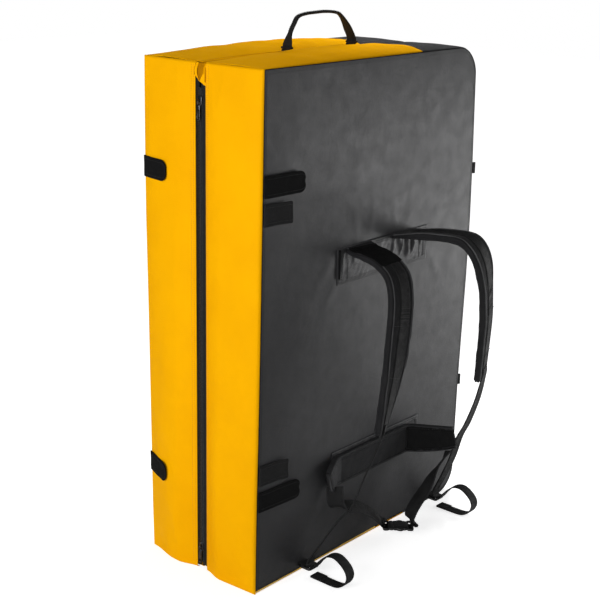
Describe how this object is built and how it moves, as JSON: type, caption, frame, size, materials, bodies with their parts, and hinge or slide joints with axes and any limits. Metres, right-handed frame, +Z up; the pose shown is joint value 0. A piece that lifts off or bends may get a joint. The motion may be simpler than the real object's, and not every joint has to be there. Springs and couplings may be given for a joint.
{
  "type": "bouldering crash pad",
  "caption": "Folding foam crash pad for climbing, standing folded, with a zipped side, carry handle, shoulder straps and waist belt.",
  "frame": {"origin": "middle of the carry half's bottom face, on the ground, with the pad folded and standing", "axes": "+Z up, +X along the outer panel from the zip side to the fold side, -Y out of the side with the harness"},
  "size_m": [0.6781, 0.5105, 1.0807],
  "materials": {
    "yellow_cover": "coated plain-weave nylon",
    "dark_cover": "coated plain-weave nylon",
    "landing_cover": "coated plain-weave nylon",
    "soft_foam": "open-cell foam",
    "hard_foam": "closed-cell foam",
    "black_webbing": "ribbed polyamide webbing",
    "black_padding": "padded fabric with bound edges",
    "black_plastic": "moulded, fine texture",
    "hook_and_loop": "hook and loop tape",
    "slider_metal": "black plated",
    "zip_coil": "moulded coil"
  },
  "bodies": {
    "carry_half": {"belt_middle": "black_padding", "belt_root_patch": "dark_cover", "carry_bottom_dark": "dark_cover", "carry_bottom_yellow": "yellow_cover", "carry_firm_foam": "hard_foam", "carry_fold_side": "dark_cover", "carry_hinge_leaf": "dark_cover", "carry_landing_panel": "landing_cover", "carry_outer_panel": "dark_cover", "carry_soft_foam": "soft_foam", "carry_top_dark": "dark_cover", "carry_top_yellow": "yellow_cover", "carry_zip_chain": "zip_coil", "carry_zip_side": "yellow_cover", "carry_zip_tape": "black_webbing", "fold_side_tab_lower": "black_webbing", "fold_side_tab_upper": "black_webbing", "left_anchor_tab": "black_webbing", "left_ladder_lock": "black_plastic", "left_strap_root": "black_padding", "panel_loop_patch_lower": "hook_and_loop", "panel_loop_patch_upper": "hook_and_loop", "right_anchor_tab": "black_webbing", "right_ladder_lock": "black_plastic", "right_strap_root": "black_padding", "strap_root_patch": "dark_cover"},
    "far_half": {"far_bottom_dark": "dark_cover", "far_bottom_yellow": "yellow_cover", "far_firm_foam": "hard_foam", "far_fold_side": "dark_cover", "far_hinge_leaf": "dark_cover", "far_landing_panel": "landing_cover", "far_outer_panel": "dark_cover", "far_soft_foam": "soft_foam", "far_top_dark": "dark_cover", "far_top_yellow": "yellow_cover", "far_zip_chain": "zip_coil", "far_zip_side": "yellow_cover", "far_zip_tape": "black_webbing"},
    "top_slider": {"top_zip_slider": "slider_metal"},
    "top_pull": {"top_zip_pull": "slider_metal"},
    "bottom_slider": {"bottom_zip_slider": "slider_metal"},
    "bottom_pull": {"bottom_zip_pull": "slider_metal"},
    "handle": {"carry_handle": "black_webbing"},
    "left_strap": {"left_shoulder_pad": "black_padding", "left_lower_webbing": "black_webbing"},
    "right_strap": {"right_shoulder_pad": "black_padding", "right_lower_webbing": "black_webbing"},
    "left_tail": {"left_tail_loop": "black_webbing"},
    "right_tail": {"right_tail_loop": "black_webbing"},
    "waist_belt": {"belt_left_wing": "black_padding", "belt_right_wing": "black_padding", "belt_left_webbing": "black_webbing", "belt_right_webbing": "black_webbing", "buckle_male": "black_plastic"},
    "buckle_release": {"buckle_female": "black_plastic"},
    "panel_tab_upper": {"panel_hook_tab_upper": "hook_and_loop"},
    "panel_tab_lower": {"panel_hook_tab_lower": "hook_and_loop"},
    "side_tab_upper": {"side_hook_tab_upper": "hook_and_loop"},
    "side_tab_lower": {"side_hook_tab_lower": "hook_and_loop"}
  },
  "joints": [
    {"name": "fold", "type": "hinge", "parent": "carry_half", "child": "far_half", "pos_m": [0.334, 0.0745, 0], "axis": [0, 0, -1], "range_deg": [0, 180]},
    {"name": "top_zip", "type": "slide", "parent": "carry_half", "child": "top_slider", "axis": [0, 0, -1], "range_m": [0, 0.39]},
    {"name": "top_pull_swing", "type": "hinge", "parent": "top_slider", "child": "top_pull", "pos_m": [-0.33895, 0.0745, 0.93], "axis": [0, 1, 0], "range_deg": [0, 150]},
    {"name": "bottom_zip", "type": "slide", "parent": "carry_half", "child": "bottom_slider", "axis": [0, 0, 1], "range_m": [0, 0.39]},
    {"name": "bottom_pull_swing", "type": "hinge", "parent": "bottom_slider", "child": "bottom_pull", "pos_m": [-0.33895, 0.0745, 0.05], "axis": [0, 1, 0], "range_deg": [0, 150]},
    {"name": "handle_swing", "type": "hinge", "parent": "carry_half", "child": "handle", "pos_m": [-0.019, 0.0598, 1.02002], "axis": [1, 0, 0], "range_deg": [-60, 60]},
    {"name": "left_strap_swing", "type": "hinge", "parent": "carry_half", "child": "left_strap", "pos_m": [-0.203, -0.0965, 0.022], "axis": [-0.2419, 0.093, -0.9658], "range_deg": [-8, 18]},
    {"name": "right_strap_swing", "type": "hinge", "parent": "carry_half", "child": "right_strap", "pos_m": [0.228, -0.09655, 0.022], "axis": [-0.2164, -0.096, 0.9716], "range_deg": [-8, 18]},
    {"name": "left_tail_turn", "type": "hinge", "parent": "carry_half", "child": "left_tail", "pos_m": [-0.203, -0.10527, 0.0224], "axis": [0, 0, 1], "range_deg": [-12, 12]},
    {"name": "right_tail_turn", "type": "hinge", "parent": "carry_half", "child": "right_tail", "pos_m": [0.228, -0.10519, 0.0224], "axis": [0, 0, 1], "range_deg": [-12, 12]},
    {"name": "belt_lift", "type": "hinge", "parent": "carry_half", "child": "waist_belt", "pos_m": [0.022, -0.08, 0.2213], "axis": [-1, 0, 0], "range_deg": [0, 40]},
    {"name": "buckle_slide", "type": "slide", "parent": "waist_belt", "child": "buckle_release", "axis": [0.6494, -0.7604, 0], "range_m": [0, 0.03]},
    {"name": "panel_tab_upper_peel", "type": "hinge", "parent": "carry_half", "child": "panel_tab_upper", "pos_m": [-0.329, -0.0725, 0.794], "axis": [0, 0, -1], "range_deg": [0, 150]},
    {"name": "side_tab_upper_peel", "type": "hinge", "parent": "far_half", "child": "side_tab_upper", "pos_m": [-0.329, 0.2215, 0.794], "axis": [0, 0, -1], "range_deg": [0, 150]},
    {"name": "panel_tab_lower_peel", "type": "hinge", "parent": "carry_half", "child": "panel_tab_lower", "pos_m": [-0.329, -0.0725, 0.192], "axis": [0, 0, -1], "range_deg": [0, 150]},
    {"name": "side_tab_lower_peel", "type": "hinge", "parent": "far_half", "child": "side_tab_lower", "pos_m": [-0.329, 0.2215, 0.192], "axis": [0, 0, -1], "range_deg": [0, 150]}
  ]
}
